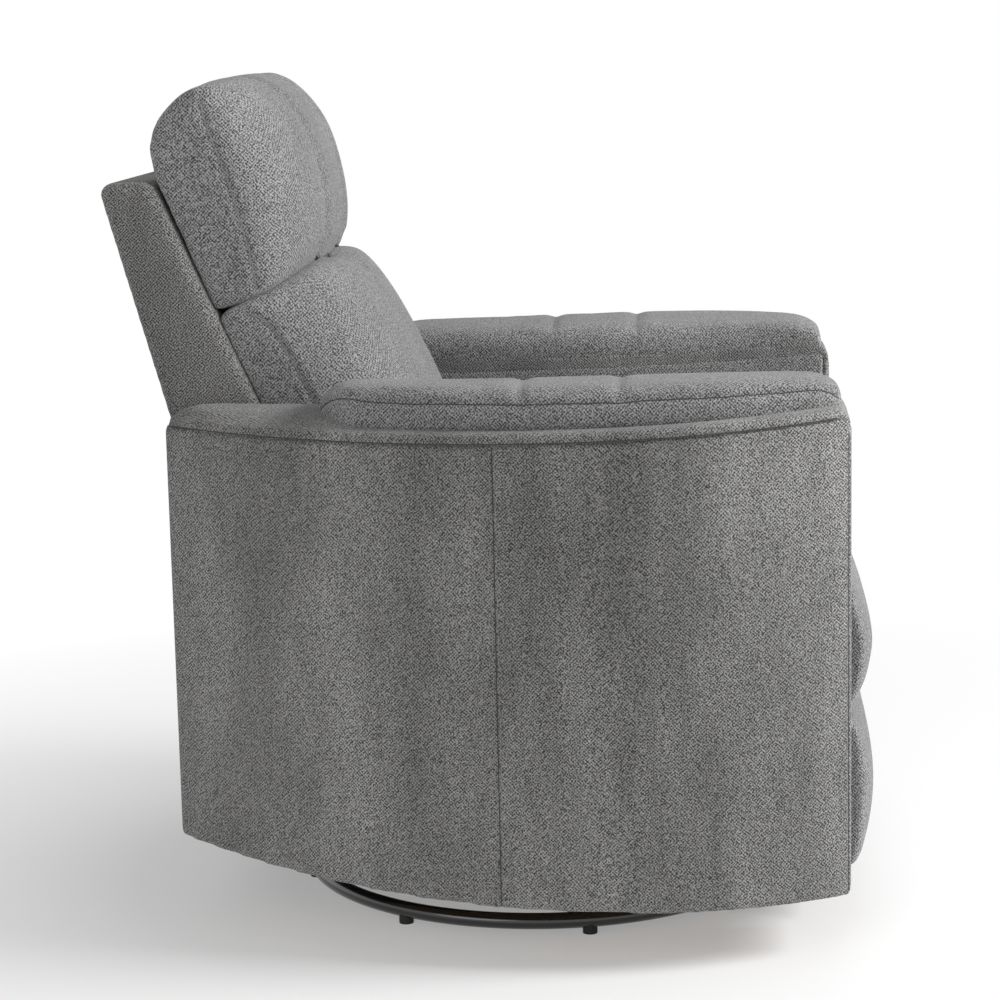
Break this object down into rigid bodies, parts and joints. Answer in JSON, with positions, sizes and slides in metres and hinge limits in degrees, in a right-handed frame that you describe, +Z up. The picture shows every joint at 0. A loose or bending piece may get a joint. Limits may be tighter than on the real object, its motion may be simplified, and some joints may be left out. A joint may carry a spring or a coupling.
{
  "type": "swivel glider recliner",
  "caption": "Barrel-arm upholstered armchair that swivels on a ring base, glides on hanging links and reclines with a folding footrest and tilting headrest.",
  "frame": {"origin": "on the floor, under the middle of the chair's outer box", "axes": "+Z up, the sitter looks along -Y, the sitter's left hand is at +X"},
  "size_m": [0.88, 0.9353, 1.0418],
  "materials": {
    "upholstery": "woven chenille, mid grey",
    "cushion_cover": "woven chenille over polyester fill, mid grey",
    "ring_paint": "gloss black powder coat",
    "black_steel": "satin black",
    "bright_steel": "zinc plated",
    "wire": "drawn spring wire",
    "timber": "sawn hardwood and plywood",
    "black_plastic": "moulded, fine texture",
    "bushing_plastic": "moulded nylon",
    "glide_rubber": "moulded",
    "under_cloth": "black dust cloth"
  },
  "bodies": {
    "base": {"base_ring": "ring_paint", "base_spider": "black_steel", "base_glides": "glide_rubber", "lower_race": "bright_steel", "bearing_balls": "bright_steel", "king_pin": "bright_steel", "king_nut": "bright_steel"},
    "swivel": {"swivel_plate": "black_steel", "upper_race": "bright_steel", "swivel_bushing": "bushing_plastic", "glider_base": "black_steel", "glide_upper_pins": "bright_steel", "swivel_bolts": "bright_steel"},
    "front_links": {"front_glide_links": "black_steel"},
    "rear_links": {"rear_glide_links": "black_steel"},
    "chair": {"glide_platform": "black_steel", "base_rails": "timber", "mechanism_frame": "black_steel", "seat_springs": "wire", "seat_cushion": "cushion_cover", "left_arm_frame": "timber", "right_arm_frame": "timber", "left_wing_front": "upholstery", "right_wing_front": "upholstery", "left_wing_rear": "upholstery", "right_wing_rear": "upholstery", "left_arm_cap": "upholstery", "right_arm_cap": "upholstery", "left_arm_pad": "cushion_cover", "right_arm_pad": "cushion_cover", "left_arm_liner": "upholstery", "right_arm_liner": "upholstery", "rear_apron": "upholstery", "dust_cover": "under_cloth", "footrest_actuator": "black_plastic", "back_actuator": "black_plastic", "control_bezel": "black_plastic", "power_inlet": "black_plastic"},
    "footrest_drive": {"footrest_drive_links": "black_steel", "footrest_link_pins": "bright_steel"},
    "footrest_outer": {"footrest_outer_links": "black_steel"},
    "footrest": {"footrest_board": "timber", "footrest_brackets": "black_steel", "footrest_pad_upper": "cushion_cover", "footrest_pad_lower": "cushion_cover"},
    "footrest_rod": {"footrest_rod": "bright_steel"},
    "back": {"back_shell": "upholstery", "back_frame": "timber", "back_springs": "wire", "back_cushion": "cushion_cover", "back_hinge_frame": "black_steel", "head_actuator": "black_plastic", "head_mounts": "black_steel"},
    "back_rod": {"back_rod": "bright_steel"},
    "head": {"head_frame": "black_steel", "head_cushion": "cushion_cover"},
    "head_rod": {"head_rod": "bright_steel"},
    "rocker_footrest": {"switch_footrest": "black_plastic"},
    "rocker_back": {"switch_back": "black_plastic"},
    "rocker_head": {"switch_head": "black_plastic"}
  },
  "joints": [
    {"name": "swivel_turn", "type": "hinge", "parent": "base", "child": "swivel", "pos_m": [0, -0.036, 0.039], "axis": [0, 0, 1], "continuous": true},
    {"name": "glide", "type": "hinge", "parent": "swivel", "child": "front_links", "pos_m": [0, -0.126, 0.18], "axis": [1, 0, 0], "range_deg": [-24, 24]},
    {"name": "glide_front_foot", "type": "hinge", "parent": "front_links", "child": "chair", "pos_m": [0, -0.126, 0.08], "axis": [1, 0, 0], "range_deg": [-24, 24]},
    {"name": "glide_rear", "type": "hinge", "parent": "swivel", "child": "rear_links", "pos_m": [0, 0.054, 0.18], "axis": [1, 0, 0], "range_deg": [-24, 24]},
    {"name": "footrest_drive", "type": "hinge", "parent": "chair", "child": "footrest_drive", "pos_m": [0, -0.25, 0.27], "axis": [1, 0, 0], "range_deg": [-95, 0]},
    {"name": "footrest_knee", "type": "hinge", "parent": "footrest_drive", "child": "footrest_outer", "pos_m": [0, -0.25, 0.1], "axis": [1, 0, 0], "range_deg": [0, 128.6]},
    {"name": "footrest_fold", "type": "hinge", "parent": "footrest_outer", "child": "footrest", "pos_m": [0, -0.39, 0.265], "axis": [1, 0, 0], "range_deg": [-123.6, 0]},
    {"name": "footrest_rod_slide", "type": "slide", "parent": "chair", "child": "footrest_rod", "axis": [0, -1, 0], "range_m": [0, 0.1185]},
    {"name": "back_recline", "type": "hinge", "parent": "chair", "child": "back", "pos_m": [0, 0.14, 0.345], "axis": [1, 0, 0], "range_deg": [-35, 0]},
    {"name": "back_rod_slide", "type": "slide", "parent": "chair", "child": "back_rod", "axis": [0, -1, 0], "range_m": [0, 0.0606]},
    {"name": "head_tilt", "type": "hinge", "parent": "back", "child": "head", "pos_m": [0, 0.235, 0.803], "axis": [1, 0, 0], "range_deg": [0, 25]},
    {"name": "head_rod_slide", "type": "slide", "parent": "back", "child": "head_rod", "axis": [0, 0.2588, 0.9659], "range_m": [0, 0.0438]},
    {"name": "rocker_footrest_press", "type": "hinge", "parent": "chair", "child": "rocker_footrest", "pos_m": [-0.253, -0.301, 0.56], "axis": [0, 0, 1], "range_deg": [-8, 8], "stiffness_Nm_per_rad": 0.5},
    {"name": "rocker_back_press", "type": "hinge", "parent": "chair", "child": "rocker_back", "pos_m": [-0.253, -0.255, 0.56], "axis": [0, 0, 1], "range_deg": [-8, 8], "stiffness_Nm_per_rad": 0.5},
    {"name": "rocker_head_press", "type": "hinge", "parent": "chair", "child": "rocker_head", "pos_m": [-0.253, -0.209, 0.56], "axis": [0, 0, 1], "range_deg": [-8, 8], "stiffness_Nm_per_rad": 0.5}
  ],
  "couplings": [
    {"joint": "glide_front_foot", "follows": "glide", "ratio": -1},
    {"joint": "glide_rear", "follows": "glide", "ratio": 1},
    {"joint": "footrest_knee", "follows": "footrest_drive", "ratio": -1.3526},
    {"joint": "footrest_fold", "follows": "footrest_drive", "ratio": 1.3},
    {"joint": "footrest_rod_slide", "follows": "footrest_drive", "m_per_rad": -0.071146},
    {"joint": "back_rod_slide", "follows": "back_recline", "m_per_rad": -0.098452},
    {"joint": "head_rod_slide", "follows": "head_tilt", "m_per_rad": 0.099209}
  ]
}
